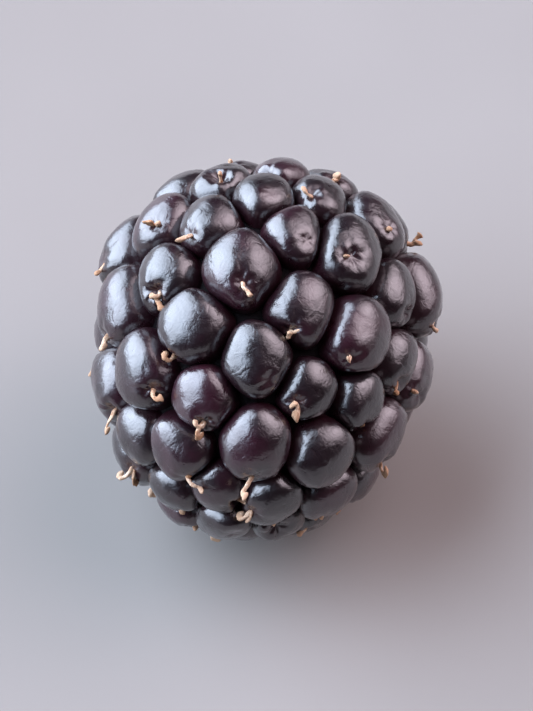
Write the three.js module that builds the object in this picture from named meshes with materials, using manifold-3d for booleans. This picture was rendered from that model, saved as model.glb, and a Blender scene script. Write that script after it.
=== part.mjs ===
// A ripe bramble berry, picked without its calyx and lying on its side.
//
// The fruit is one body: a fleshy core wholly covered by drupelets, each one a small balloon full of
// juice that its neighbours press out of round. On the flank towards the tip most of them still carry
// the dried thread of their style. At the stem end, in a hollow between the last drupelets, sits the
// pale end of the receptacle, the cone that the drupelets grow on: in a bramble it comes away with the
// fruit.
//
// Units are millimetres. +Z is up, the surface that the berry lies on is Z = 0, and the tip points
// to -Y. The origin is on that surface, under the middle of the berry.

import * as THREE from "three";
import { mergeVertices } from "three/addons/utils/BufferGeometryUtils.js";
import Module from "manifold-3d";

// Driving dimensions of the fruit
const BERRY_WIDTH = 26.6; // across the widest ring of drupelets
const STEM_REACH = 13.2; // from the widest ring back to the stem end
const TIP_REACH = 18.2; // from the widest ring on to the tip
const DRUPELET_COUNT = 77;
const DRUPELET_WIDTH = 5.3; // at the widest ring, before the drupelets press on each other
const DRUPELET_LONGER = 1.3; // how much longer than wide, along the fruit
const DOME_HEIGHT = 3.5; // from the heart of a drupelet of that width to its skin
const FLESH_RISE = 1.55; // from the hearts up to the flesh at the bottom of the grooves

// How drupelets differ
const SIZE_SPREAD = 0.14; // share by which a width may be over or under
const TIP_SIZE = 0.85; // width at the tip, as a share of the width at the widest ring
const STEM_SIZE = 0.92; // the same at the stem end
const RUNT_CHANCE = 0.03; // a drupelet whose seed stayed small
const RUNT_SIZE = 0.75;
const SEED = 2138;

// How a drupelet is pressed
const SWELL = 1.25; // half its free width, against half the room it has
const PRESS = 1.12; // how far it reaches to a neighbour, against the middle between them
const ROUNDING = 7; // higher is more angular
const PRESSING_DISTANCE = 1.5; // neighbours further off than this many widths don't touch

// How the fruit lies
const DROOP_DEG = 12; // the tip hangs lower than the stem end, because the berry tapers
const YAW_DEG = -8;
const ROLL_DEG = 222; // three of the lowest drupelets carry the berry
const HEART_PLACE = new THREE.Vector3(-0.13, 2.54, 13.05); // the middle of the widest ring

// The styles
const STYLE_CHANCE = 0.7; // the other drupelets have lost theirs
const STYLE_LENGTH = 1.5;
const STYLE_WIDTH = 0.75;
const STYLE_TIP_WIDTH = 0.62;
const STYLE_ROOT = 0.8; // sunk in the drupelet
const STYLE_FLANK_DEG = 38; // from the top of the dome down to the root of the thread
const STYLE_SLIDE_DEG = 14; // by which that may be more or less
const STYLE_SWAY_DEG = 40; // how far a thread may stand or point to the side
const STYLE_CLEARANCE = 0.8; // threads that would come nearer to the surface have been rubbed off

// The receptacle
const SCAR_WIDTH = 8.4; // across its pale end
const SCAR_SINK = 2.4; // from the stem end of the berry in to the rim of the scar
const PLUG_DEPTH = 4.6;
const PLUG_FOOT_WIDTH = 5.6;
const PEDICEL_WIDTH = 2.6; // the round scar that the stalk left in the middle
const SOCKET_GAP = 0.3; // left free round it

const radians = THREE.MathUtils.degToRad;

// A repeatable stream of numbers from 0 to 1 (the Park-Miller rule).
function seededRandom(seed) {
  let state = seed;
  return () => {
    state = (state * 16807) % 2147483647;
    return (state - 1) / 2147483646;
  };
}

const random = seededRandom(SEED);
const either = () => 2 * random() - 1; // from -1 to 1

// ---------------------------------------------------------------- where the drupelets are

// The egg on which the hearts of the drupelets lie, one dome's height under the skin, with its
// middle at the origin and its tip at +Z.
const heartEgg = {
  radius: BERRY_WIDTH / 2 - DOME_HEIGHT,
  stem: STEM_REACH - DOME_HEIGHT,
  tip: TIP_REACH - DOME_HEIGHT,
};

// The flesh that shows at the bottom of the little pits where three drupelets meet.
const fleshEgg = {
  radius: heartEgg.radius + FLESH_RISE,
  stem: heartEgg.stem + FLESH_RISE,
  tip: heartEgg.tip + FLESH_RISE,
};

function alongOf(egg, z) {
  return z > 0 ? egg.tip : egg.stem;
}

// The place where the line from the middle through a point meets the egg.
function onEgg(point, egg) {
  const round = (point.x ** 2 + point.y ** 2) / egg.radius ** 2;
  const along = point.z ** 2 / alongOf(egg, point.z) ** 2;
  return point.clone().divideScalar(Math.sqrt(round + along));
}

function outwardAt(place, egg) {
  const along = alongOf(egg, place.z);
  return new THREE.Vector3(
    place.x / egg.radius ** 2,
    place.y / egg.radius ** 2,
    place.z / along ** 2,
  ).normalize();
}

// Pushes each drupelet away from those that are nearer than their widths ask for. They sit closer
// round the fruit than along it, and the scar at the stem end doesn't give way.
function pushApart(drupelets, scar) {
  const STIFFNESS = 0.35;
  const all = [...drupelets, scar];
  const moves = all.map(() => new THREE.Vector3());
  for (let i = 0; i < all.length; i++) {
    for (let j = i + 1; j < all.length; j++) {
      const apart = all[j].heart.clone().sub(all[i].heart);
      const distance = Math.hypot(apart.x, apart.y, apart.z / DRUPELET_LONGER);
      const wanted = (all[i].width + all[j].width) / 2;
      if (distance >= wanted) continue;
      apart.multiplyScalar((STIFFNESS * (wanted - distance)) / distance);
      moves[i].sub(apart);
      moves[j].add(apart);
    }
  }
  drupelets.forEach((drupelet, i) => {
    drupelet.heart = onEgg(drupelet.heart.add(moves[i]), heartEgg);
  });
}

// Drupelets start on a spiral of golden angles, as the carpels of the flower do, and then make room
// for each other.
function packDrupelets() {
  const GOLDEN_ANGLE = Math.PI * (3 - Math.sqrt(5));
  const FIRST_HEIGHT = -0.86; // on a ball of radius 1, beside the scar
  const STEPS = 260;
  const drupelets = [];
  for (let k = 0; k < DRUPELET_COUNT; k++) {
    const share = (k + 0.5) / DRUPELET_COUNT;
    const z = FIRST_HEIGHT + (1 - FIRST_HEIGHT) * share;
    const ring = Math.sqrt(1 - z * z);
    const turn = k * GOLDEN_ANGLE;
    const start = new THREE.Vector3(ring * Math.cos(turn), ring * Math.sin(turn), z);
    const endSize = z > 0 ? TIP_SIZE : STEM_SIZE;
    const taper = 1 - (1 - endSize) * z * z;
    const spread = 1 + SIZE_SPREAD * either();
    const runt = random() < RUNT_CHANCE ? RUNT_SIZE : 1;
    const width = DRUPELET_WIDTH * taper * spread * runt;
    drupelets.push({ heart: onEgg(start, heartEgg), width });
  }
  const scar = { heart: new THREE.Vector3(0, 0, -heartEgg.stem), width: SCAR_WIDTH };
  for (let step = 0; step < STEPS; step++) pushApart(drupelets, scar);
  for (const drupelet of drupelets) settle(drupelet, [...drupelets, scar]);
  return drupelets;
}

// Gives a drupelet its own directions (outward, towards the tip, and across) and the walls halfway
// to its neighbours that it is pressed against.
function settle(drupelet, all) {
  const { heart, width } = drupelet;
  const outward = outwardAt(heart, heartEgg);
  const tipward = new THREE.Vector3(0, 0, 1).addScaledVector(outward, -outward.z).normalize();
  const across = new THREE.Vector3().crossVectors(outward, tipward);
  const walls = [];
  for (const other of all) {
    if (other === drupelet) continue;
    const away = other.heart.clone().sub(heart);
    const distance = away.length();
    if (distance > (PRESSING_DISTANCE * (width + other.width)) / 2) continue;
    const reach = (distance * width) / (width + other.width);
    walls.push({ away: away.divideScalar(distance), reach });
  }
  Object.assign(drupelet, { outward, tipward, across, walls });
}

// ---------------------------------------------------------------- the shape of a drupelet

// How far the skin is from the drupelet's heart along a direction: a smooth blend of its own
// ellipsoid and of the walls that its neighbours press on it.
function skinDistance(drupelet, direction) {
  const half = (SWELL * drupelet.width) / 2;
  const dome = (DOME_HEIGHT * drupelet.width) / DRUPELET_WIDTH;
  const rise = direction.dot(drupelet.outward);
  const out = rise / (rise > 0 ? dome : half);
  const up = direction.dot(drupelet.tipward) / (half * DRUPELET_LONGER);
  const side = direction.dot(drupelet.across) / half;
  let sum = (out ** 2 + up ** 2 + side ** 2) ** (ROUNDING / 2);
  for (const wall of drupelet.walls) {
    const facing = direction.dot(wall.away);
    if (facing > 0) sum += (facing / (PRESS * wall.reach)) ** ROUNDING;
  }
  return sum ** (-1 / ROUNDING);
}

// A direction from a drupelet's heart: an angle down from the top of its dome, and a turn round it
// that starts on the side of the tip.
function directionIn(drupelet, down, turn) {
  return drupelet.outward
    .clone()
    .multiplyScalar(Math.cos(down))
    .addScaledVector(drupelet.tipward, Math.sin(down) * Math.cos(turn))
    .addScaledVector(drupelet.across, Math.sin(down) * Math.sin(turn));
}

function skinPoint(drupelet, direction, sunk = 0) {
  return direction
    .clone()
    .multiplyScalar(skinDistance(drupelet, direction) - sunk)
    .add(drupelet.heart);
}

// A closed balloon with its poles outward and inward: rings on the dome, and none on the hidden root.
// Every other ring is turned by half a step.
function drupeletGeometry(drupelet) {
  const SIDES = 11;
  const RINGS_DEG = [25, 49, 72, 98];
  const points = [skinPoint(drupelet, drupelet.outward)];
  RINGS_DEG.forEach((down, ring) => {
    for (let side = 0; side < SIDES; side++) {
      const turn = ((side + (ring % 2) / 2) * 2 * Math.PI) / SIDES;
      points.push(skinPoint(drupelet, directionIn(drupelet, radians(down), turn)));
    }
  });
  points.push(skinPoint(drupelet, drupelet.outward.clone().negate()));
  const triangles = [];
  const top = 0;
  const bottom = points.length - 1;
  const ringStart = (ring) => 1 + ring * SIDES;
  for (let side = 0; side < SIDES; side++) {
    const next = (side + 1) % SIDES;
    triangles.push(top, ringStart(0) + side, ringStart(0) + next);
    for (let ring = 1; ring < RINGS_DEG.length; ring++) {
      const above = ringStart(ring - 1);
      const below = ringStart(ring);
      if (ring % 2) {
        triangles.push(above + side, below + side, above + next);
        triangles.push(above + next, below + side, below + next);
      } else {
        triangles.push(above + side, below + side, below + next);
        triangles.push(above + side, below + next, above + next);
      }
    }
    const lowest = ringStart(RINGS_DEG.length - 1);
    triangles.push(lowest + side, bottom, lowest + next);
  }
  return new THREE.BufferGeometry().setFromPoints(points).setIndex(triangles);
}

// The thread of a style: it stands on the flank towards the tip and leans away from the dome.
function styleGeometry(drupelet, slide, sway, twist) {
  const STYLE_LEAN = 1.9; // towards the tip, for each part straight out
  const flank = radians(STYLE_FLANK_DEG + STYLE_SLIDE_DEG * slide);
  const turn = radians(STYLE_SWAY_DEG * sway);
  const root = skinPoint(drupelet, directionIn(drupelet, flank, turn), STYLE_ROOT);
  const lean = Math.atan(STYLE_LEAN);
  const way = directionIn(drupelet, lean, turn + radians(STYLE_SWAY_DEG * twist));
  const whole = STYLE_ROOT + STYLE_LENGTH;
  return closed(new THREE.CylinderGeometry(STYLE_TIP_WIDTH / 2, STYLE_WIDTH / 2, whole, 3))
    .translate(0, whole / 2, 0)
    .applyQuaternion(new THREE.Quaternion().setFromUnitVectors(new THREE.Vector3(0, 1, 0), way))
    .translate(...root);
}

// The flesh under the drupelets.
function coreGeometry() {
  const geometry = closed(new THREE.IcosahedronGeometry(1, 2));
  const position = geometry.attributes.position;
  const point = new THREE.Vector3();
  for (let i = 0; i < position.count; i++) {
    point.copy(onEgg(point.fromBufferAttribute(position, i), fleshEgg));
    position.setXYZ(i, ...point);
  }
  return geometry;
}

// ---------------------------------------------------------------- the receptacle

// Turned round the axis of the fruit. A profile runs from the inner end to the outer end as pairs of
// radius and height, and height 0 is the rim of the scar.
function turned(profile) {
  const SIDES = 24;
  const points = profile.map(([radius, height]) => new THREE.Vector2(radius, height));
  return closed(new THREE.LatheGeometry(points, SIDES))
    .rotateX(-Math.PI / 2)
    .translate(0, 0, SCAR_SINK - STEM_REACH);
}

// The end is slightly domed, with a shallow ring where the calyx sat and a dimple in the middle.
function receptacleGeometry() {
  const rim = SCAR_WIDTH / 2;
  const pedicel = PEDICEL_WIDTH / 2;
  return turned([
    [0, -PLUG_DEPTH],
    [PLUG_FOOT_WIDTH / 2, -PLUG_DEPTH],
    [rim, -1.5],
    [rim, -0.5],
    [rim - 0.35, 0],
    [rim - 1.1, 0.1],
    [pedicel + 0.75, 0.15],
    [pedicel, 0.65],
    [pedicel - 0.5, 0.6],
    [0, 0.2],
  ]);
}

function socketGeometry() {
  const wide = SCAR_WIDTH / 2 + SOCKET_GAP;
  const deep = PLUG_DEPTH + SOCKET_GAP;
  return turned([
    [0, -deep],
    [PLUG_FOOT_WIDTH / 2 + SOCKET_GAP, -deep],
    [wide, -1.5],
    [wide, 0],
    [wide - 0.5, 1.0],
    [0, 1.0],
  ]);
}

// ---------------------------------------------------------------- solids

// Joins the seams and poles of a three.js shape, so that it is a closed body.
function closed(geometry) {
  geometry.deleteAttribute("normal");
  geometry.deleteAttribute("uv");
  const merged = mergeVertices(geometry, 1e-4);
  const triangles = [];
  for (let i = 0; i < merged.index.count; i += 3) {
    const [a, b, c] = [0, 1, 2].map((corner) => merged.index.getX(i + corner));
    if (a !== b && b !== c && c !== a) triangles.push(a, b, c);
  }
  return merged.setIndex(triangles);
}

const wasm = await Module();
wasm.setup();

function solidOf(geometry) {
  return new wasm.Manifold(
    new wasm.Mesh({
      numProp: 3,
      vertProperties: new Float32Array(geometry.attributes.position.array),
      triVerts: new Uint32Array(geometry.index.array),
    }),
  );
}

function geometryOf(solid) {
  const mesh = solid.getMesh();
  return new THREE.BufferGeometry()
    .setAttribute("position", new THREE.BufferAttribute(mesh.vertProperties, 3))
    .setIndex(new THREE.BufferAttribute(mesh.triVerts, 1));
}

// From the fruit's own axis to how it lies.
const pose = new THREE.Matrix4()
  .makeTranslation(HEART_PLACE)
  .multiply(new THREE.Matrix4().makeRotationZ(radians(YAW_DEG)))
  .multiply(new THREE.Matrix4().makeRotationX(radians(90 + DROOP_DEG)))
  .multiply(new THREE.Matrix4().makeRotationZ(radians(ROLL_DEG)));

const drupelets = packDrupelets();
const styles = [];
for (const drupelet of drupelets) {
  const kept = random() < STYLE_CHANCE;
  const style = styleGeometry(drupelet, either(), either(), either()).applyMatrix4(pose);
  style.computeBoundingBox();
  if (kept && style.boundingBox.min.z > STYLE_CLEARANCE) styles.push(style);
}

// What the berry lies on presses the lowest drupelets flat.
const surface = new THREE.BoxGeometry(2 * BERRY_WIDTH, 2 * BERRY_WIDTH, BERRY_WIDTH);
surface.translate(0, 0, -BERRY_WIDTH / 2);

const fused = wasm.Manifold.union([
  solidOf(coreGeometry().applyMatrix4(pose)),
  ...drupelets.map((drupelet) => solidOf(drupeletGeometry(drupelet).applyMatrix4(pose))),
  ...styles.map(solidOf),
]);
const pressed = fused
  .subtract(solidOf(closed(surface)))
  .subtract(solidOf(socketGeometry().applyMatrix4(pose)));

// ---------------------------------------------------------------- the berry

const fruit = new THREE.Mesh(
  geometryOf(pressed),
  new THREE.MeshStandardMaterial({ color: 0x1c1218, roughness: 0.3, metalness: 0 }),
);
fruit.name = "drupelets";

const receptacle = new THREE.Mesh(
  receptacleGeometry().applyMatrix4(pose),
  new THREE.MeshStandardMaterial({ color: 0xd9cf9f, roughness: 0.8, metalness: 0 }),
);
receptacle.name = "receptacle";

const berry = new THREE.Group();
berry.add(fruit, receptacle);

export default berry;
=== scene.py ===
# %% [markdown]
# # A ripe bramble berry
#
# A bramble berry is not one berry but some seventy tiny fruits, called drupelets. Each is a
# balloon of juice round one seed, and they all press on each other on a soft pale cone, the
# receptacle. In this lesson we build the fruit piece by piece: first the places of the drupelets,
# then one drupelet by hand, then its pressed copies, the flesh between them, the dried threads
# that the flower left behind, and the end of the receptacle. After that come the finishes, the
# camera and the light.
#
# The solid model of the berry is loaded first. It is the fixed frame that everything is fitted to,
# so nothing in it is moved. Blender works in metres here, and a berry is small, so all our own
# measures are in millimetres and are turned into metres at the last moment.

import math

import bpy
import numpy as np
from mathutils import Matrix, Vector, noise


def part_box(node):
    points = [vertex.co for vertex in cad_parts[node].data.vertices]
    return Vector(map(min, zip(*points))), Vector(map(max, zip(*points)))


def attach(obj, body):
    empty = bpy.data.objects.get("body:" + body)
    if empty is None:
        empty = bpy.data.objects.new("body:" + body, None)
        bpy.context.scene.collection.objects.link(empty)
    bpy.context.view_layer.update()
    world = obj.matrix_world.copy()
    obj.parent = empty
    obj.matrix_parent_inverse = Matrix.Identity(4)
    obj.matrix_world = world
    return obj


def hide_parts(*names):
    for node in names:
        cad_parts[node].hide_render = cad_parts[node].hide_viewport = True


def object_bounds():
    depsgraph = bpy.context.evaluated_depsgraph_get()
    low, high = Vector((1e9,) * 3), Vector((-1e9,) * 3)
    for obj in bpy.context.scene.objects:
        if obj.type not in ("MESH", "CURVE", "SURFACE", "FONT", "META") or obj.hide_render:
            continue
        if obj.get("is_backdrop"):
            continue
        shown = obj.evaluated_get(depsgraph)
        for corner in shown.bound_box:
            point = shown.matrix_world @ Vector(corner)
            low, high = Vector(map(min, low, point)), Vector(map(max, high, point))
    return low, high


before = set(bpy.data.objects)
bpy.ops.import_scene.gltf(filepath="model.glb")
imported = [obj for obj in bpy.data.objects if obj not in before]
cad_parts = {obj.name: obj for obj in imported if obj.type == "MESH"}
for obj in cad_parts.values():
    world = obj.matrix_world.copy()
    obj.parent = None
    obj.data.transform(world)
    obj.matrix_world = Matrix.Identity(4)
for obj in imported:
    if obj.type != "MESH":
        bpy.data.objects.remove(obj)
solid_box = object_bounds()
MM = 0.001
for name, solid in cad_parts.items():
    low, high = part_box(name)
    print(name, len(solid.data.polygons), "faces,", [round(x / MM, 1) for x in high - low], "mm")

# %% [markdown]
# ## The measures of the fruit
#
# The solid model follows a rule, and the fine model follows the same rule with the same numbers,
# so that every drupelet lies where its solid is. The fruit is described upright, with its tip
# towards +Z, and is laid on its side at the very end.

# %% The measures of the fruit
BERRY_WIDTH = 26.6  # across the widest ring of drupelets
STEM_REACH = 13.2  # from the widest ring back to the stem end
TIP_REACH = 18.2  # from the widest ring on to the tip
DRUPELET_COUNT = 77
DRUPELET_WIDTH = 5.3  # at the widest ring, before the drupelets press on each other
DRUPELET_LONGER = 1.3  # how much longer than wide, along the fruit
DOME_HEIGHT = 3.5  # from the heart of a drupelet of that width to its skin

SIZE_SPREAD = 0.14  # share by which a width may be over or under
TIP_SIZE = 0.85  # width at the tip, as a share of the width at the widest ring
STEM_SIZE = 0.92  # the same at the stem end
RUNT_CHANCE = 0.03  # a drupelet whose seed stayed small
RUNT_SIZE = 0.75
SEED = 2138

SCAR_WIDTH = 8.4  # across the pale end of the receptacle
SCAR_SINK = 2.4  # from the stem end of the berry in to that end

DROOP = math.radians(12)  # the tip hangs lower than the stem end, because the berry tapers
YAW = math.radians(-8)
ROLL = math.radians(222)
HEART_PLACE = Vector((-0.13, 2.54, 13.05))  # the middle of the widest ring

lie_down = (
    Matrix.Translation(HEART_PLACE)
    @ Matrix.Rotation(YAW, 4, "Z")
    @ Matrix.Rotation(math.radians(90) + DROOP, 4, "X")
    @ Matrix.Rotation(ROLL, 4, "Z")
)
to_metres = Matrix.Scale(MM, 4)
tip = lie_down @ Vector((0, 0, TIP_REACH))
print("the tip points to", [round(x, 1) for x in tip], "mm")

# %% [markdown]
# ## Where the drupelets are
#
# In the flower the carpels grow on a spiral, each one a golden angle further round than the last.
# While they swell they push each other about until every one has room. The rule does just that: it
# sets the hearts on a spiral on an egg, and then lets them push apart in small steps.
#
# The random numbers come from a tiny rule of our own, because it gives the same numbers in every
# program, and so the same berry.

# %% Random numbers that are the same everywhere
FACTOR = 16807
PRIME = 2147483647


def seeded_random(seed):
    """Numbers from 0 to 1, each one made from the last."""
    state = seed
    while True:
        state = (state * FACTOR) % PRIME
        yield (state - 1) / (PRIME - 1)


draws = seeded_random(SEED)


def either():
    """A number from -1 to 1."""
    return 2 * next(draws) - 1


sample = seeded_random(SEED)
print("the numbers start with", [round(next(sample), 4) for _ in range(3)])


# %% The egg that the hearts lie on
heart_egg = {
    "radius": BERRY_WIDTH / 2 - DOME_HEIGHT,
    "stem": STEM_REACH - DOME_HEIGHT,
    "tip": TIP_REACH - DOME_HEIGHT,
}


def along_of(egg, z):
    """How long the egg is on that side of its widest ring."""
    return np.where(z > 0, egg["tip"], egg["stem"])


def on_egg(points, egg):
    """Moves points straight in or out, until they lie on the egg."""
    round_share = (points[:, 0] ** 2 + points[:, 1] ** 2) / egg["radius"] ** 2
    along_share = points[:, 2] ** 2 / along_of(egg, points[:, 2]) ** 2
    return points / np.sqrt(round_share + along_share)[:, None]


def unit(vectors):
    """The same directions with a length of 1."""
    return vectors / np.linalg.norm(vectors, axis=-1, keepdims=True)


reaches = {side: round(length, 1) for side, length in heart_egg.items()}
print("from its middle the egg reaches", reaches, "mm")


# %% Set the hearts on a spiral
GOLDEN_ANGLE = math.pi * (3 - math.sqrt(5))
FIRST_HEIGHT = -0.86  # where the spiral starts, from -1 at the stem end to 1 at the tip

starts, widths = [], []
for k in range(DRUPELET_COUNT):
    z = FIRST_HEIGHT + (1 - FIRST_HEIGHT) * (k + 0.5) / DRUPELET_COUNT
    ring = math.sqrt(1 - z * z)
    starts.append((ring * math.cos(k * GOLDEN_ANGLE), ring * math.sin(k * GOLDEN_ANGLE), z))
    taper = 1 - (1 - (TIP_SIZE if z > 0 else STEM_SIZE)) * z * z
    spread = 1 + SIZE_SPREAD * either()
    runt = RUNT_SIZE if next(draws) < RUNT_CHANCE else 1
    widths.append(DRUPELET_WIDTH * taper * spread * runt)

scar_heart = (0, 0, -heart_egg["stem"])
hearts = np.vstack([on_egg(np.array(starts), heart_egg), scar_heart])
widths = np.array([*widths, SCAR_WIDTH])
narrowest, widest = widths[:-1].min().round(2), widths[:-1].max().round(2)
print(DRUPELET_COUNT, "drupelets,", narrowest, "to", widest, "mm wide")

# %% Let them push apart
STEPS = 260  # after these, a step moves a heart by less than 0.02 mm
STIFFNESS = 0.35  # share of an overlap by which each heart gives way in one step
NUDGE = np.array([1e-9, 0, 0])  # gives a heart right at the tip a tipward side too

wanted = (widths[:, None] + widths[None, :]) / 2
for _ in range(STEPS):
    apart = hearts[None] - hearts[:, None]
    distance = np.linalg.norm(apart / (1, 1, DRUPELET_LONGER), axis=2)
    np.fill_diagonal(distance, np.inf)
    push = np.where(distance < wanted, STIFFNESS * (wanted / distance - 1), 0)
    moved = hearts - (apart * push[:, :, None]).sum(1)
    hearts[:-1] = on_egg(moved[:-1], heart_egg)

half_axes = np.full(hearts.shape, heart_egg["radius"])
half_axes[:, 2] = along_of(heart_egg, hearts[:, 2])
outwards = unit(hearts / half_axes**2)
tipwards = unit(np.array([0, 0, 1.0]) - outwards * outwards[:, 2:] + NUDGE)
acrosses = np.cross(outwards, tipwards)
gaps = np.sort(np.linalg.norm(apart, axis=2), axis=1)[:, 1]
print("nearest neighbours are", gaps.mean().round(2), "mm apart")

# %% [markdown]
# ## How a drupelet is pressed
#
# Alone, a drupelet would be an egg-shaped balloon. In the fruit each neighbour is a wall halfway
# between the two hearts. We need one smooth skin that obeys them all. The trick is to ask, for
# each direction from the heart, how far each of the shapes would let the skin go, and to blend the
# answers so that the nearest one wins softly. A higher power gives a more angular drupelet.

# %% The skin of one drupelet
SWELL = 1.25  # half its free width, against half the room it has
PRESS = 1.06  # how far it reaches to a neighbour, against the middle between them
ROUNDING = 5.5  # higher is more angular
PRESSING_DISTANCE = 1.5  # neighbours further off than this many widths don't touch


def fruit_directions(k, local):
    """Turns directions at drupelet k, given as (tipward, across, outward), into the fruit's own."""
    return local[:, :1] * tipwards[k] + local[:, 1:2] * acrosses[k] + local[:, 2:] * outwards[k]


def skin_distance(k, local):
    """How far the skin of drupelet k is from its heart. local is (tipward, across, outward)."""
    half = SWELL * widths[k] / 2
    dome = DOME_HEIGHT * widths[k] / DRUPELET_WIDTH
    out = local[:, 2] / np.where(local[:, 2] > 0, dome, half)
    free = out**2 + (local[:, 0] / (half * DRUPELET_LONGER)) ** 2 + (local[:, 1] / half) ** 2
    total = free ** (ROUNDING / 2)
    away = hearts - hearts[k]
    distance = np.linalg.norm(away, axis=1)
    near = (distance > 0) & (distance < PRESSING_DISTANCE * (widths + widths[k]) / 2)
    reach = distance[near] * widths[k] / (widths[near] + widths[k])
    facing = np.clip(fruit_directions(k, local) @ unit(away[near]).T, 0, None)
    total = total + ((facing / (PRESS * reach)) ** ROUNDING).sum(1)
    return total ** (-1 / ROUNDING)


def direction_in(down, turn):
    """A direction, by its angle down from the top of the dome and its turn from tipward."""
    beside = math.sin(down)
    return np.array([[beside * math.cos(turn), beside * math.sin(turn), math.cos(down)]])


rises = [skin_distance(k, direction_in(0, 0))[0] for k in range(DRUPELET_COUNT)]
print("the domes rise", min(rises).round(2), "to", max(rises).round(2), "mm from the hearts")


# %% [markdown]
# ## The dried threads: which drupelets still have one
#
# Every drupelet carried a style, the thread that the pollen grew down. It dries and stays on the
# flank towards the tip, until it is rubbed off. We draw that first, because the skin puckers round
# the root of a thread.

# %% Which drupelets kept their thread
STYLE_CHANCE = 0.7  # the other drupelets have lost theirs
STYLE_FLANK = math.radians(38)  # from the top of the dome down to the root of the thread
STYLE_SLIDE = math.radians(14)  # by which that may be more or less
STYLE_SWAY = math.radians(40)  # how far a thread may stand or point to the side
STYLE_LEAN = math.atan(1.9)  # how far it leans towards the tip
STYLE_CLEARANCE = 1.6  # threads that would come nearer to the surface have been rubbed off

threads = []
for k in range(DRUPELET_COUNT):
    kept = next(draws) < STYLE_CHANCE
    down = STYLE_FLANK + STYLE_SLIDE * either()
    sway = STYLE_SWAY * either()
    twist = STYLE_SWAY * either()
    root_direction = direction_in(down, sway)
    inward = -fruit_directions(k, root_direction)[0]
    root = hearts[k] - inward * skin_distance(k, root_direction)[0]
    way = fruit_directions(k, direction_in(STYLE_LEAN, sway + twist))[0]
    height = (lie_down @ Vector(root)).z
    kept = kept and height > STYLE_CLEARANCE
    places = {"down": down, "sway": sway, "root": root, "inward": inward, "way": way}
    threads.append({"kept": kept, **places})
print(sum(thread["kept"] for thread in threads), "threads are kept")

# %% [markdown]
# ## One drupelet, by hand
#
# A drupelet starts as an icosphere, because its triangles have nearly the same size everywhere and
# it has no poles to pinch the skin. It is only a ball of directions for now. The faces should be
# small where they are seen, and smallest round the thread, where the skin is creased, but not in
# the half that ends up inside the fruit. So we model the ball with the root of the thread at +Z,
# and subdivide it three times, each time in a smaller circle round the root.


# %% Helpers to pick a piece and its points
def only(piece):
    """Makes this the one piece that the operators work on."""
    bpy.ops.object.select_all(action="DESELECT")
    piece.select_set(True)
    bpy.context.view_layer.objects.active = piece
    return piece


def select_points(piece, is_wanted):
    """Goes into edit mode with just the points selected whose place is wanted."""
    bpy.ops.object.mode_set(mode="EDIT")
    bpy.ops.mesh.select_mode(type="VERT")
    bpy.ops.mesh.select_all(action="DESELECT")
    bpy.ops.object.mode_set(mode="OBJECT")
    for vertex in piece.data.vertices:
        vertex.select = is_wanted(vertex.co)
    bpy.ops.object.mode_set(mode="EDIT")


# %% Model the ball
FINER_WITHIN = (125, 42, 25)  # degrees from the root of the thread
ROOT_SIDE = Vector((0, 0, 1))

bpy.ops.object.select_all(action="DESELECT")
bpy.ops.mesh.primitive_ico_sphere_add(subdivisions=3, radius=1)
ball = only(bpy.context.object)
ball.name = "drupelet_model"
for wide in FINER_WITHIN:
    select_points(ball, lambda place: place.angle(ROOT_SIDE) < math.radians(wide))
    bpy.ops.mesh.subdivide(number_cuts=1)
    bpy.ops.mesh.select_all(action="SELECT")
    bpy.ops.mesh.quads_convert_to_tris()
    bpy.ops.object.mode_set(mode="OBJECT")
bpy.ops.object.shade_smooth()

ball_directions = np.empty(len(ball.data.vertices) * 3)
ball.data.vertices.foreach_get("co", ball_directions)
ball_directions = unit(ball_directions.reshape(-1, 3))
print("the ball has", len(ball.data.polygons), "faces")

# %% [markdown]
# ## Press the copies
#
# Each copy gets its own mesh, because each is pressed in its own way. Three small things make it
# look grown instead of made: the skin is a little lumpy, it sinks and creases where the thread
# stands, like a balloon round its knot, and the lowest drupelets are flat where the berry lies on
# them.
#
# We also store three numbers on the points for the finish to read later: how ripe this drupelet
# is, how far the point is from the root of the thread, and how near it is to the crown of the
# dome.

# %% The lumps and creases of the skin
LUMPS = ((2.6, 0.16), (1.1, 0.065), (0.45, 0.018))  # size across and height of each kind
OWN_PATTERN = 7  # so that no two drupelets have the same lumps
PUCKER_WIDTH = 0.72  # from the root of the thread to where the pucker is a third as deep
CREASE_SHARE = 0.5  # how deep the creases are, against the pucker
CREASE_REACH = 2.0  # how much further they reach than the pucker
CREASE_WIDTH = 0.62  # a higher number gives fewer creases
CREASE_DRIFT = 0.6  # how fast a crease changes on its way out
CREASE_START = 0.4  # nearer to the root than this they run together


def laid_down(points):
    """Lays points of the upright fruit on their side, where the solid lies."""
    return points @ np.array(lie_down.to_3x3()).T + np.array(HEART_PLACE)


def lumps(points, size, number):
    """Smooth noise from about -1 to 1 at every point, with a pattern of its own for each number."""
    aside = Vector((OWN_PATTERN * number, 0, 0))
    return np.array([noise.noise(Vector(point) / size + aside) for point in points])


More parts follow.
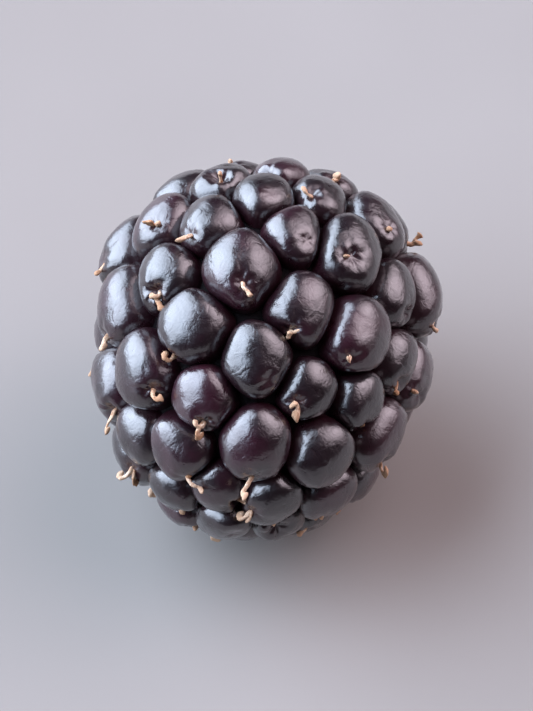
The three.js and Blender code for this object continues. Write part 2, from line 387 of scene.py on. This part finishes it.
def skin_points(k, depth):
    """The points of drupelet k with a pucker of that depth, how far each is from the root of the
    thread, and how near it is to the crown of the dome."""
    down, sway = threads[k]["down"], threads[k]["sway"]
    to_root = Matrix.Rotation(sway, 3, "Z") @ Matrix.Rotation(down, 3, "Y")
    local = ball_directions @ np.array(to_root).T
    distance = skin_distance(k, local)
    points = hearts[k] + fruit_directions(k, local) * distance[:, None]
    for size, height in LUMPS:
        distance = distance + height * lumps(points, size, k)
    beside = points - threads[k]["root"]
    from_root = np.linalg.norm(beside, axis=1)
    around = np.arctan2(beside @ acrosses[k], beside @ tipwards[k])
    rays = np.stack([np.cos(around), np.sin(around), CREASE_DRIFT * from_root], axis=1)
    folds = lumps(rays, CREASE_WIDTH, k) * np.minimum(from_root / CREASE_START, 1)
    hollow = np.exp(-((from_root / PUCKER_WIDTH) ** 2))
    faded = np.exp(-((from_root / (CREASE_REACH * PUCKER_WIDTH)) ** 2))
    distance = distance - depth * (hollow + CREASE_SHARE * folds * faded)
    points = laid_down(hearts[k] + fruit_directions(k, local) * distance[:, None])
    points[:, 2] = np.maximum(points[:, 2], 0)
    return points, from_root, local[:, 2]


# %% Helpers to store numbers and to join pieces
def store(mesh, name, values):
    """Keeps a number on every point, for a finish to read."""
    attribute = mesh.attributes.new(name, "FLOAT", "POINT")
    attribute.data.foreach_set("value", np.asarray(values, np.float32))


def join(pieces, name):
    """Makes one piece of many."""
    bpy.ops.object.select_all(action="DESELECT")
    for piece in pieces:
        piece.select_set(True)
    bpy.context.view_layer.objects.active = pieces[0]
    bpy.ops.object.join()
    bpy.context.object.name = name
    return bpy.context.object


# %% Press the copies and join them
DEEPEST_KEPT = 0.9  # pucker round a thread that is still there
DEEPEST_LOST = 0.55  # pucker where it has been rubbed off
SHALLOWEST = 0.2  # as a share of the deepest
DEEP_IS_RARE = 1.5  # higher gives fewer deep ones

chance = np.random.default_rng(SEED)
copies = []
for k, thread in enumerate(threads):
    deepest = DEEPEST_KEPT if thread["kept"] else DEEPEST_LOST
    share = SHALLOWEST + (1 - SHALLOWEST) * chance.random() ** DEEP_IS_RARE
    thread["depth"] = deepest * share
    points, from_root, crown = skin_points(k, thread["depth"])
    skin = bpy.data.objects.new(f"drupelet_{k}", ball.data.copy())
    bpy.context.collection.objects.link(skin)
    skin.data.vertices.foreach_set("co", (points * MM).ravel())
    store(skin.data, "ripeness", np.full(len(points), chance.random()))
    store(skin.data, "from_root", from_root)
    store(skin.data, "crown", crown)
    copies.append(skin)

skins = join(copies, "drupelet_skins")
bpy.data.objects.remove(ball)
print("the skins have", len(skins.data.polygons), "faces")

# %% [markdown]
# ## The flesh between them
#
# At the bottom of the grooves the drupelets grow together. An egg of flesh under them closes the
# little pits where three of them meet. It starts as an icosphere too. Its half towards the tip and
# its half towards the stem are drawn out to their own lengths in edit mode, before it is laid down
# with the rest.

# %% Model the flesh
FLESH_RISE = 0.7  # from the hearts up to the flesh at the bottom of the grooves

flesh_radius = heart_egg["radius"] + FLESH_RISE
bpy.ops.object.select_all(action="DESELECT")
bpy.ops.mesh.primitive_ico_sphere_add(subdivisions=5, radius=flesh_radius)
flesh = only(bpy.context.object)
flesh.name = "flesh"
for half, sign in (("tip", 1), ("stem", -1)):
    select_points(flesh, lambda place: place.z * sign > 0)
    longer = (heart_egg[half] + FLESH_RISE) / flesh_radius
    bpy.ops.transform.resize(value=(1, 1, longer), center_override=(0, 0, 0))
    bpy.ops.object.mode_set(mode="OBJECT")
bpy.ops.object.shade_smooth()
print("upright, the flesh is", [round(x, 1) for x in flesh.dimensions], "mm")

# %% Sink it under the receptacle and roughen it
SUNK_TO = -8.6  # how far towards the stem the flesh may reach under the receptacle
SUNK_BEYOND = 0.5  # how much wider than the receptacle
ROUGH_SIZE = 0.8
ROUGH_HEIGHT = 0.12
LOWEST_FLESH = 0.4  # so that the berry lies on its drupelets alone

for vertex in flesh.data.vertices:
    place = vertex.co
    if math.hypot(place.x, place.y) < SCAR_WIDTH / 2 + SUNK_BEYOND:
        place.z = max(place.z, SUNK_TO)
    place += place.normalized() * ROUGH_HEIGHT * noise.noise(place / ROUGH_SIZE)
flesh.data.transform(to_metres @ lie_down)
for vertex in flesh.data.vertices:
    vertex.co.z = max(vertex.co.z, LOWEST_FLESH * MM)
print("the flesh has", len(flesh.data.polygons), "faces")

# %% [markdown]
# ## The dried threads
#
# A style is a third to a half of a millimetre thick and dries into a small hook with a blunt,
# slightly swollen end. It could be a curve with a bevel, but here we grow it as by hand: a little
# hexagon is extruded, turned and narrowed, again and again, and a subdivision rounds it. Five
# threads that bend differently are enough, because each copy is turned, flattened and sized in its
# own way. Where two stand together they look like a fork.

# %% Grow a thread
THREAD_SIDES = 6


def grow_thread(name, thick, steps):
    """Each step is its length, its bend in degrees and its thickness as a share of thick."""
    bpy.ops.object.select_all(action="DESELECT")
    bpy.ops.mesh.primitive_circle_add(vertices=THREAD_SIDES, radius=thick / 2, fill_type="NGON")
    thread = only(bpy.context.object)
    thread.name = name
    bpy.ops.object.mode_set(mode="EDIT")
    bpy.ops.mesh.select_all(action="SELECT")
    end, heading, share = Vector((0, 0, 0)), 0.0, 1.0
    for length, bend, next_share in steps:
        step = Vector((math.sin(heading), 0, math.cos(heading))) * length
        bpy.ops.mesh.extrude_region_move(TRANSFORM_OT_translate={"value": step})
        end += step
        bpy.ops.transform.rotate(value=-math.radians(bend), orient_axis="Y", center_override=end)
        bpy.ops.transform.resize(value=(next_share / share,) * 3, center_override=end)
        heading += math.radians(bend)
        share = next_share
    bpy.ops.mesh.select_all(action="SELECT")
    bpy.ops.mesh.normals_make_consistent(inside=False)
    bpy.ops.object.mode_set(mode="OBJECT")
    rounded = thread.modifiers.new("rounded", "SUBSURF")
    rounded.levels = rounded.render_levels = 1
    bpy.ops.object.modifier_apply(modifier=rounded.name)
    bpy.ops.object.shade_smooth()
    return thread


# %% Grow the five threads
HOOKED = [(0.3, 10, 1), (0.25, 20, 0.85), (0.22, 34, 0.75), (0.22, 40, 0.8), (0.2, 34, 0.9)]
CURLED = [(0.3, -18, 1), (0.28, -14, 0.9), (0.26, 20, 0.75), (0.26, 42, 0.7), (0.22, 50, 0.75)]
KINKED = [(0.4, 5, 1), (0.3, 62, 0.8), (0.25, 12, 0.85), (0.25, -25, 0.75), (0.2, -20, 0.9)]
STUBBY = [(0.3, 14, 1), (0.2, 16, 0.9), (0.2, 20, 1)]
WORN = [(0.25, -8, 1), (0.16, -10, 1.1), (0.12, 0, 0.7)]
THREAD_END = [(0.14, 12, 1.2), (0.12, 0, 1.2), (0.08, 0, 0.6)]

thread_models = [
    grow_thread("hooked_thread", 0.5, HOOKED + THREAD_END),
    grow_thread("curled_thread", 0.46, CURLED + THREAD_END),
    grow_thread("kinked_thread", 0.48, KINKED + THREAD_END),
    grow_thread("stubby_thread", 0.6, STUBBY + THREAD_END),
    grow_thread("worn_thread", 0.52, WORN),
]
for model in thread_models:
    sizes = [round(x, 2) for x in model.dimensions]
    print(model.name, len(model.data.polygons), "faces,", sizes, "mm")

# %% How to plant one thread
THREAD_ROOT = 0.25  # sunk in the drupelet
HOW_COMMON = (0.28, 0.2, 0.16, 0.2, 0.16)  # a share for each thread model
FLATTEST = 0.6  # thickness one way, against the model, because a dry thread is a ribbon
LONGEST = 1.8  # length, against the model
SHRIVEL = 0.11  # how far the points are pushed about
SHRIVEL_SIZE = 0.3
OWN_SHRIVEL = 5.0  # so that no two drupelets have threads shrivelled alike
PAIR_SHRIVEL = 40  # nor the two of a pair
SPREAD = 0.35  # radians, about, by which a thread may turn from its way
PAIR_SPREAD = 0.9  # the same for the second of a pair
PAIR_CHANCE = 0.25

noise.seed_set(SEED)  # else noise_vector is seeded by the clock, and each run shrivels them anew


def plant(k, spread):
    """Sets one thread on drupelet k, turned from its way by up to about that many radians."""
    thread = threads[k]
    model = thread_models[int(chance.choice(len(thread_models), p=HOW_COMMON))]
    start = thread["root"] + thread["inward"] * (thread["depth"] + THREAD_ROOT)
    way = thread["way"] + chance.uniform(-spread, spread) * acrosses[k]
    way = Vector(way + chance.uniform(-spread, spread) * outwards[k]).normalized()
    aside = Vector(acrosses[k]).cross(way).normalized()
    aside.rotate(Matrix.Rotation(chance.uniform(-math.pi, math.pi), 3, way))
    turned = Matrix((aside, way.cross(aside), way)).transposed().to_4x4()
    size = Matrix.Diagonal((1, chance.uniform(FLATTEST, 1), chance.uniform(1, LONGEST), 1))
    copy = bpy.data.objects.new(f"thread_{k}", model.data.copy())
    bpy.context.collection.objects.link(copy)
    along = np.array([vertex.co.length for vertex in copy.data.vertices])
    pattern = Vector((OWN_SHRIVEL * k, PAIR_SHRIVEL * spread, 0))
    for vertex in copy.data.vertices:
        vertex.co += SHRIVEL * noise.noise_vector(vertex.co / SHRIVEL_SIZE + pattern)
    store(copy.data, "along", along / along.max())
    store(copy.data, "age", np.full(len(along), chance.random()))
    copy.data.transform(to_metres @ lie_down @ Matrix.Translation(start) @ turned @ size)
    return copy


# %% Plant them all
planted = []
for k, thread in enumerate(threads):
    if thread["kept"]:
        planted.append(plant(k, SPREAD))
        if chance.random() < PAIR_CHANCE:
            planted.append(plant(k, PAIR_SPREAD))
styles = join(planted, "styles")
for model in thread_models:
    bpy.data.objects.remove(model)
print(len(planted), "threads with", len(styles.data.polygons), "faces")

# %% [markdown]
# ## The end of the receptacle
#
# When a bramble berry is picked it snaps off under the green calyx, and the pale cone inside stays
# in the fruit. What shows is a round, slightly domed end with a shallow ring where the calyx sat
# and the little scar of the stalk in the middle. It could be spun from a profile, which leaves a
# seam to merge. Here a disc is drawn out ring by ring instead, like clay on a wheel, smoothed by
# subdivision, and made uneven.

# %% Turn the receptacle
RING_SIDES = 40
SCAR_RINGS = [  # radius and height, from inside the fruit out to the rim and in to the middle
    (2.9, -4.4), (4.05, -1.6), (4.25, -0.6), (4.2, -0.15), (3.9, 0.05), (3.3, 0.1), (2.4, 0.02),
    (1.9, 0.12), (1.5, 0.5), (1.25, 0.62), (0.95, 0.55), (0.6, 0.3), (0.25, 0.2),
]

bpy.ops.object.select_all(action="DESELECT")
first_radius, first_height = SCAR_RINGS[0]
bpy.ops.mesh.primitive_circle_add(vertices=RING_SIDES, radius=first_radius, fill_type="NGON")
receptacle = only(bpy.context.object)
receptacle.location.z = first_height
receptacle.name = "receptacle_end"
bpy.ops.object.transform_apply()
bpy.ops.object.mode_set(mode="EDIT")
bpy.ops.mesh.select_all(action="SELECT")
for (radius, height), (next_radius, next_height) in zip(SCAR_RINGS, SCAR_RINGS[1:]):
    step = (0, 0, next_height - height)
    bpy.ops.mesh.extrude_region_move(TRANSFORM_OT_translate={"value": step})
    wider = next_radius / radius
    bpy.ops.transform.resize(value=(wider, wider, 1), center_override=(0, 0, next_height))
bpy.ops.mesh.select_all(action="SELECT")
bpy.ops.mesh.normals_make_consistent(inside=False)
bpy.ops.object.mode_set(mode="OBJECT")
smooth = receptacle.modifiers.new("smooth", "SUBSURF")
smooth.levels = smooth.render_levels = 2
bpy.ops.object.modifier_apply(modifier=smooth.name)
bpy.ops.object.shade_smooth()
print("upright, the receptacle is", [round(x, 1) for x in receptacle.dimensions], "mm")

# %% Make it uneven and set it in place
FIBRE_COUNT = 5  # higher gives more and finer fibres
FIBRE_DRIFT = 0.4  # how fast a fibre changes on its way out
FIBRE_HEIGHT = 0.09
BUMP_SIZE = 1.1
BUMP_HEIGHT = 0.12
RIM_WAVES = 1.5  # higher gives more waves
RIM_PATTERN = 3  # another layer of the noise than the fibres read
RIM_SHARE = 0.03  # by which the rim is out of round


def round_noise(turn, count, height):
    """Noise that meets itself again after a full turn."""
    return noise.noise(Vector((count * math.cos(turn), count * math.sin(turn), height)))


for vertex in receptacle.data.vertices:
    place = vertex.co
    turn = math.atan2(place.y, place.x)
    beside = math.hypot(place.x, place.y)
    fibres = round_noise(turn, FIBRE_COUNT, beside * FIBRE_DRIFT)
    bumps = noise.noise(Vector(place) / BUMP_SIZE)
    place.z += (FIBRE_HEIGHT * fibres + BUMP_HEIGHT * bumps) * min(1, beside)
    place.xy *= 1 + RIM_SHARE * round_noise(turn, RIM_WAVES, RIM_PATTERN)
from_middle = [math.hypot(*vertex.co.xy) for vertex in receptacle.data.vertices]
store(receptacle.data, "beside", from_middle)
face_stem = Matrix.Translation((0, 0, SCAR_SINK - STEM_REACH)) @ Matrix.Rotation(math.pi, 4, "X")
receptacle.data.transform(to_metres @ lie_down @ face_stem)
print("the receptacle has", len(receptacle.data.polygons), "faces")

# %% [markdown]
# ## Helpers for the finishes
#
# A finish is a small graph of nodes. One helper adds a node, sets it and links it, and another
# turns the colours, which are written as they look on a screen, into the linear numbers that light
# needs. Patterns read Object coordinates, which are metres here, so a pattern that repeats every
# so many millimetres has a scale of one over that length in metres. An image would show its pixels
# and its seams this close to, and a pattern made of noise has neither.


# %% Helpers for the finishes
def linear(code):
    """A colour such as "#c8ccd2" in linear numbers, by the usual curve of a screen."""
    shares = [int(code[i : i + 2], 16) / 255 for i in (1, 3, 5)]
    return (*[c / 12.92 if c <= 0.04045 else ((c + 0.055) / 1.055) ** 2.4 for c in shares], 1)


def per(millimetres):
    """The scale of a pattern that repeats every so many millimetres."""
    return 1 / (millimetres * MM)


def new_material(name):
    """An empty graph of nodes."""
    material = bpy.data.materials.new(name)
    material.use_nodes = True
    material.node_tree.nodes.clear()
    return material


def add(material, kind, inputs=None, stops=(), **settings):
    """Adds a node with its settings. Each input gets a value or a link, and a colour ramp gets its
    stops, which are (place, colour)."""
    node = material.node_tree.nodes.new(kind)
    for name, value in settings.items():
        setattr(node, name, value)
    for socket, value in (inputs or {}).items():
        if isinstance(value, bpy.types.NodeSocket):
            material.node_tree.links.new(value, node.inputs[socket])
        else:
            node.inputs[socket].default_value = value
    for _ in stops[2:]:  # a new ramp has two stops
        node.color_ramp.elements.new(0.5)
    for number, (place, code) in enumerate(stops):
        node.color_ramp.elements[number].position = place
        node.color_ramp.elements[number].color = linear(code)
    return node


def put_on(piece, material):
    """Gives a piece its finish."""
    piece.data.materials.append(material)
    print(piece.name, "gets", material.name, "with", len(material.node_tree.nodes), "nodes")


# %% [markdown]
# ## The skin of a ripe drupelet
#
# It is a thin taut skin with a waxy gloss over juice that is almost black. The colour is a deep
# purple-black that turns to wine red low on the sides, round the thread, and where a drupelet is a
# little less ripe. The gloss isn't even: the skin has a fine grain, which breaks the edge of every
# highlight, and shallow wrinkles. The wax is a coat with a reflection of its own. The juice could
# be see-through, but it is so dark that light hardly comes back out, and a solid dark colour looks
# the same.

# %% The colour of ripe skin
CLOUD_SIZE = 2.6  # half a drupelet, so that one side may be riper than the other

ripe_skin = new_material("ripe_drupelet_skin")
place = add(ripe_skin, "ShaderNodeTexCoord").outputs["Object"]
ripeness = add(ripe_skin, "ShaderNodeAttribute", attribute_name="ripeness").outputs["Fac"]
from_root = add(ripe_skin, "ShaderNodeAttribute", attribute_name="from_root").outputs["Fac"]
crown = add(ripe_skin, "ShaderNodeAttribute", attribute_name="crown").outputs["Fac"]

clouds = add(
    ripe_skin,
    "ShaderNodeTexNoise",
    {"Vector": place, "Scale": per(CLOUD_SIZE), "Detail": 3.0},
).outputs["Fac"]
tint = add(
    ripe_skin,
    "ShaderNodeMath",
    {0: ripeness, 1: 0.45, 2: clouds},
    operation="MULTIPLY_ADD",
)
dark = add(
    ripe_skin,
    "ShaderNodeValToRGB",
    {"Fac": tint.outputs[0]},
    stops=[(0.4, "#12090d"), (0.7, "#1a0c12"), (0.95, "#2b0f1a")],
)
low = add(ripe_skin, "ShaderNodeMapRange", {"Value": crown, "From Min": 0.75, "From Max": 0.2})
sides = add(
    ripe_skin,
    "ShaderNodeMix",
    {"Factor": low.outputs[0], "A": dark.outputs["Color"], "B": linear("#260b13")},
    data_type="RGBA",
)
near = add(ripe_skin, "ShaderNodeMapRange", {"Value": from_root, "From Min": 1.3, "From Max": 0.2})
colour = add(
    ripe_skin,
    "ShaderNodeMix",
    {"Factor": near.outputs[0], "A": sides.outputs["Result"], "B": linear("#2c151b")},
    data_type="RGBA",
)

# %% The wrinkles and the grain of ripe skin
WRINKLE_SIZE = 0.8
WRINKLE_DEPTH = 0.12
GRAIN_SIZE = 0.17  # the cells of the skin are finer, and are drawn this coarse so that they show
GRAIN_DEPTH = 0.025

wrinkles = add(
    ripe_skin,
    "ShaderNodeTexNoise",
    {"Vector": place, "Scale": per(WRINKLE_SIZE), "Detail": 2.0, "Distortion": 0.8},
).outputs["Fac"]
grain = add(
    ripe_skin,
    "ShaderNodeTexNoise",
    {"Vector": place, "Scale": per(GRAIN_SIZE), "Detail": 2.0, "Roughness": 0.6},
).outputs["Fac"]
gloss = add(
    ripe_skin,
    "ShaderNodeMapRange",
    {"Value": wrinkles, "From Min": 0.3, "From Max": 0.7, "To Min": 0.26, "To Max": 0.38},
)
wavy = add(
    ripe_skin,
    "ShaderNodeBump",
    {"Height": wrinkles, "Strength": 0.45, "Distance": WRINKLE_DEPTH * MM},
)
grainy = add(
    ripe_skin,
    "ShaderNodeBump",
    {
        "Height": grain,
        "Strength": 0.5,
        "Distance": GRAIN_DEPTH * MM,
        "Normal": wavy.outputs[0],
    },
)

# %% Put ripe skin on
shader = add(
    ripe_skin,
    "ShaderNodeBsdfPrincipled",
    {
        "Base Color": colour.outputs["Result"],
        "Roughness": gloss.outputs[0],
        "Normal": grainy.outputs[0],
        "IOR": 1.5,
        "Coat Weight": 1.0,
        "Coat Roughness": 0.19,
        "Coat IOR": 1.6,
        "Coat Normal": grainy.outputs[0],
    },
)
add(ripe_skin, "ShaderNodeOutputMaterial", {"Surface": shader.outputs[0]})
put_on(skins, ripe_skin)

# %% [markdown]
# ## The flesh in the grooves
#
# It is the same dark juice under a duller surface, and it reflects little. Its colour is painted
# nearly black, darker than the juice, as painted shade for the bottom of the grooves that light
# hardly reaches. One even black would look like a hole, so the colour and the surface vary a
# little.

# %% Dark flesh with painted shade
PULP_SIZE = 0.7  # from one bulge to the next
PULP_DEPTH = 0.15

flesh_with_painted_shade = new_material("berry_flesh_painted_shade")
place = add(flesh_with_painted_shade, "ShaderNodeTexCoord").outputs["Object"]
clouds = add(
    flesh_with_painted_shade,
    "ShaderNodeTexNoise",
    {"Vector": place, "Scale": per(PULP_SIZE), "Detail": 3.0},
).outputs["Fac"]
colour = add(
    flesh_with_painted_shade,
    "ShaderNodeValToRGB",
    {"Fac": clouds},
    # nearly black: the dark juice with the shade at the bottom of the grooves painted in
    stops=[(0.3, "#050203"), (0.7, "#0b0407")],
)
uneven = add(
    flesh_with_painted_shade,
    "ShaderNodeBump",
    {"Height": clouds, "Strength": 0.5, "Distance": PULP_DEPTH * MM},
)
shader = add(
    flesh_with_painted_shade,
    "ShaderNodeBsdfPrincipled",
    {
        "Base Color": colour.outputs["Color"],
        "Roughness": 0.7,
        "Normal": uneven.outputs[0],
        "Specular IOR Level": 0.1,
    },
)
add(flesh_with_painted_shade, "ShaderNodeOutputMaterial", {"Surface": shader.outputs[0]})
put_on(flesh, flesh_with_painted_shade)

# %% [markdown]
# ## The fibre of the threads
#
# Dry plant fibre is matt and tan, stained brown at the root and paler to the end. Two colour ramps
# run along it, a pale one and a rusty one, and the age that we stored on each thread mixes them,
# so that no two threads have quite the same colour.

# %% The colour of dry fibre
STREAK_SIZE = 0.3  # stains about as long as a thread is thick

dry_fibre = new_material("dried_style_fibre")
place = add(dry_fibre, "ShaderNodeTexCoord").outputs["Object"]
along = add(dry_fibre, "ShaderNodeAttribute", attribute_name="along").outputs["Fac"]
age = add(dry_fibre, "ShaderNodeAttribute", attribute_name="age").outputs["Fac"]
streaks = add(
    dry_fibre,
    "ShaderNodeTexNoise",
    {"Vector": place, "Scale": per(STREAK_SIZE), "Detail": 4.0},
).outputs["Fac"]
wear = add(
    dry_fibre,
    "ShaderNodeMath",
    {0: along, 1: 0.75, 2: streaks},
    operation="MULTIPLY_ADD",
).outputs[0]
pale = add(
    dry_fibre,
    "ShaderNodeValToRGB",
    {"Fac": wear},
    stops=[(0.4, "#775642"), (0.65, "#bd9b7f"), (0.9, "#dcc5ad"), (1.0, "#c3a489")],
)
rusty = add(
    dry_fibre,
    "ShaderNodeValToRGB",
    {"Fac": wear},
    stops=[(0.4, "#5f3723"), (0.65, "#a6785a"), (0.9, "#cba789"), (1.0, "#ab7f5e")],
)
colour = add(
    dry_fibre,
    "ShaderNodeMix",
    {"Factor": age, "A": pale.outputs["Color"], "B": rusty.outputs["Color"]},
    data_type="RGBA",
)

# %% The surface of dry fibre
FIBRE_SIZE = 0.09  # the fibres are finer, and are drawn this coarse so that they show
FIBRE_DEPTH = 0.05

fibres = add(
    dry_fibre,
    "ShaderNodeTexNoise",
    {"Vector": place, "Scale": per(FIBRE_SIZE), "Detail": 2.0},
).outputs["Fac"]
rough = add(
    dry_fibre,
    "ShaderNodeBump",
    {"Height": fibres, "Strength": 0.7, "Distance": FIBRE_DEPTH * MM},
)
shader = add(
    dry_fibre,
    "ShaderNodeBsdfPrincipled",
    {
        "Base Color": colour.outputs["Result"],
        "Roughness": 0.8,
        "Normal": rough.outputs[0],
        "Specular IOR Level": 0.3,
    },
)
add(dry_fibre, "ShaderNodeOutputMaterial", {"Surface": shader.outputs[0]})
put_on(styles, dry_fibre)

# %% [markdown]
# ## The pale end of the receptacle
#
# It is soft moist pith, cream with some green, browned where it tore from the stalk and stained by
# juice at its rim. Those colours lie in rings, so one ramp runs out from the middle, and blotches
# of noise blur it. A little light is let through, as in all pale pulp, because without that it
# would look like chalk.

# %% The colour of pale pith
BLOTCH_SIZE = 1.2

pale_pith = new_material("receptacle_pith")
place = add(pale_pith, "ShaderNodeTexCoord").outputs["Object"]
beside = add(pale_pith, "ShaderNodeAttribute", attribute_name="beside").outputs["Fac"]
blotches = add(
    pale_pith,
    "ShaderNodeTexNoise",
    {"Vector": place, "Scale": per(BLOTCH_SIZE), "Detail": 5.0},
).outputs["Fac"]
blurred = add(
    pale_pith,
    "ShaderNodeMath",
    {0: blotches, 1: 2.0, 2: beside},
    operation="MULTIPLY_ADD",
)
torn = add(
    pale_pith,
    "ShaderNodeMapRange",
    {"Value": blurred.outputs[0], "From Min": 0.8, "From Max": 5.4},
)
colour = add(
    pale_pith,
    "ShaderNodeValToRGB",
    {"Fac": torn.outputs[0]},
    stops=[
        (0.0, "#553f22"),
        (0.14, "#8c774b"),
        (0.34, "#b8af88"),
        (0.66, "#aea47b"),
        (0.82, "#8e5c47"),
        (1.0, "#3a1420"),
    ],
)

# %% The surface of pale pith
CELL_SIZE = 0.25  # the cells of pith are finer, and are drawn this coarse so that they show
CELL_DEPTH = 0.1
LIGHT_REACH = 0.4  # how far light goes through

cells = add(
    pale_pith,
    "ShaderNodeTexNoise",
    {"Vector": place, "Scale": per(CELL_SIZE), "Detail": 3.0},
).outputs["Fac"]
uneven = add(
    pale_pith,
    "ShaderNodeBump",
    {"Height": cells, "Strength": 0.7, "Distance": CELL_DEPTH * MM},
)
shader = add(
    pale_pith,
    "ShaderNodeBsdfPrincipled",
    {
        "Base Color": colour.outputs["Color"],
        "Roughness": 0.6,
        "Normal": uneven.outputs[0],
        "IOR": 1.38,
        "Subsurface Weight": 0.2,
        "Subsurface Scale": LIGHT_REACH * MM,
    },
)
add(pale_pith, "ShaderNodeOutputMaterial", {"Surface": shader.outputs[0]})
put_on(receptacle, pale_pith)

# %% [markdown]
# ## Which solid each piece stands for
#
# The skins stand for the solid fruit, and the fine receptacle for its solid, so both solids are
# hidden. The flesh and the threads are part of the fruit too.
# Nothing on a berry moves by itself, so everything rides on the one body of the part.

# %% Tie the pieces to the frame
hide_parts("drupelets")
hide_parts("receptacle")
finishes = {skins: "drupelets", flesh: "drupelets", styles: "styles", receptacle: "receptacle"}
for piece, finish in finishes.items():
    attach(piece, "root")
    print(piece.name, "rides on the root and has the finish of the", finish)

# %% [markdown]
# ## The surface and the camera
#
# The berry lies on a plain pale surface, which is only a stage and no part of the fruit. Its paint
# is matt, so it takes a soft shadow and shows no highlight, and its tone drifts a very little. We
# look down on it from a little over fifty degrees, from the side of its tip. A short lens would
# have to come close and would swell the nearest drupelets, so we stand back and use a long one.

# %% The surface
SURFACE_SIZE = 8  # metres, so that its edges are far out of sight
FAINT_SIZE = 30  # how far apart the paler and the darker places are

bpy.ops.object.select_all(action="DESELECT")
bpy.ops.mesh.primitive_plane_add(size=SURFACE_SIZE)
surface = bpy.context.object
surface.name = "surface"
surface_paint = new_material("matt_pale_surface")
place = add(surface_paint, "ShaderNodeTexCoord").outputs["Object"]
faint = add(surface_paint, "ShaderNodeTexNoise", {"Vector": place, "Scale": per(FAINT_SIZE)})
colour = add(
    surface_paint,
    "ShaderNodeValToRGB",
    {"Fac": faint.outputs["Fac"]},
    stops=[(0.3, "#827d78"), (0.7, "#86817c")],
)
shader = add(
    surface_paint,
    "ShaderNodeBsdfPrincipled",
    {"Base Color": colour.outputs["Color"], "Roughness": 0.8},
)
add(surface_paint, "ShaderNodeOutputMaterial", {"Surface": shader.outputs[0]})
put_on(surface, surface_paint)
surface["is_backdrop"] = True

# %% The camera
LOOK_DOWN = math.radians(52)
MIDDLE_HEIGHT = 12.5
DISTANCE = 0.6  # metres
FOCAL_LENGTH = 400
NEAREST_SEEN = 0.01  # metres
FURTHEST_SEEN = 10

middle = Vector((0, 0, MIDDLE_HEIGHT * MM))
camera_right = Vector((1, 0, 0))
camera_back = Vector((0, -math.cos(LOOK_DOWN), math.sin(LOOK_DOWN)))
camera_up = camera_back.cross(camera_right)

lens = bpy.data.cameras.new("camera")
lens.lens = FOCAL_LENGTH
lens.clip_start, lens.clip_end = NEAREST_SEEN, FURTHEST_SEEN
camera = bpy.data.objects.new("camera", lens)
bpy.context.collection.objects.link(camera)
camera.location = middle + camera_back * DISTANCE
camera.rotation_euler = Matrix((camera_right, camera_up, camera_back)).transposed().to_euler()
bpy.context.scene.camera = camera
print("the camera is", DISTANCE, "m off and looks down", round(math.degrees(LOOK_DOWN)), "degrees")

# %% [markdown]
# ## The light
#
# Glossy black things show little of their own colour: what we see on them is mostly the room. Here
# that is a large cool window on the left, which puts a bright upright patch on every drupelet, and
# a dimmer wall on the right, a little pink, with a darker gap between them. A narrow curtain
# beside the window widens its patch. All three are area lights. Their spread is narrowed, so that
# they fade from the middle as a soft box does, and the patches have soft edges. Because it is all
# about reflections, each panel is set by its angle from the line of sight: how far it is turned to
# the right, and how far it is lifted.


# %% The lights
def panel(name, turn, lift, distance, size, fading, radiance, code):
    """A soft panel that faces the berry. turn and lift are in degrees, size is in metres. Its light
    fades from the middle, where it has this radiance, to nothing at half of fading, in degrees."""
    turn, lift = math.radians(turn), math.radians(lift)
    level = camera_back * math.cos(turn) + camera_right * math.sin(turn)
    facing = level * math.cos(lift) + camera_up * math.sin(lift)
    side = camera_up.cross(facing).normalized()
    light = bpy.data.lights.new(name, "AREA")
    light.shape = "RECTANGLE"
    light.size, light.size_y = size
    light.spread = math.radians(fading)
    half = math.radians(fading / 2)
    dimmer = 1 - half / math.tan(half)  # else a narrow spread makes the middle brighter
    light.energy = radiance * dimmer * math.pi * size[0] * size[1]
    light.color = linear(code)[:3]
    lamp = bpy.data.objects.new(name, light)
    bpy.context.collection.objects.link(lamp)
    lamp.location = middle + facing * distance
    lamp.rotation_euler = Matrix((side, facing.cross(side), facing)).transposed().to_euler()
    print(name, "is", distance, "m off and gives", round(light.energy), "watts")


panel("window", -80, 30, 1.4, (3.2, 2.8), 118, 11.5, "#dbe9ff")
panel("curtain", -40, 20, 1.8, (0.8, 2.6), 95, 3.2, "#c9dcf8")
panel("wall", 60, 40, 1.6, (2.4, 2.6), 88, 6.0, "#fbe8f4")
bpy.context.scene.view_settings.view_transform = "Standard"

# %% The rest of the room
ROOM_BRIGHTNESS = 0.04

room = bpy.data.worlds.new("room")
room.use_nodes = True
glow = room.node_tree.nodes["Background"]
glow.inputs["Color"].default_value = linear("#c8ccd2")
glow.inputs["Strength"].default_value = ROOM_BRIGHTNESS
bpy.context.scene.world = room
print("the rest of the room glows with a strength of", ROOM_BRIGHTNESS)

# %% [markdown]
# ## Finish
#
# Last, we take the box of the fine model, and print its size and the size of the box of the
# solid one. The fine model may hardly be larger than the solid one.

# %% Print the sizes of both boxes
fine_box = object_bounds()
boxes = {
    "solid": [[float(x) for x in corner] for corner in solid_box],
    "fine": [[float(x) for x in corner] for corner in fine_box],
}
for name, (low, high) in boxes.items():
    print(name, [round((b - a) / MM, 2) for a, b in zip(low, high)], "mm")
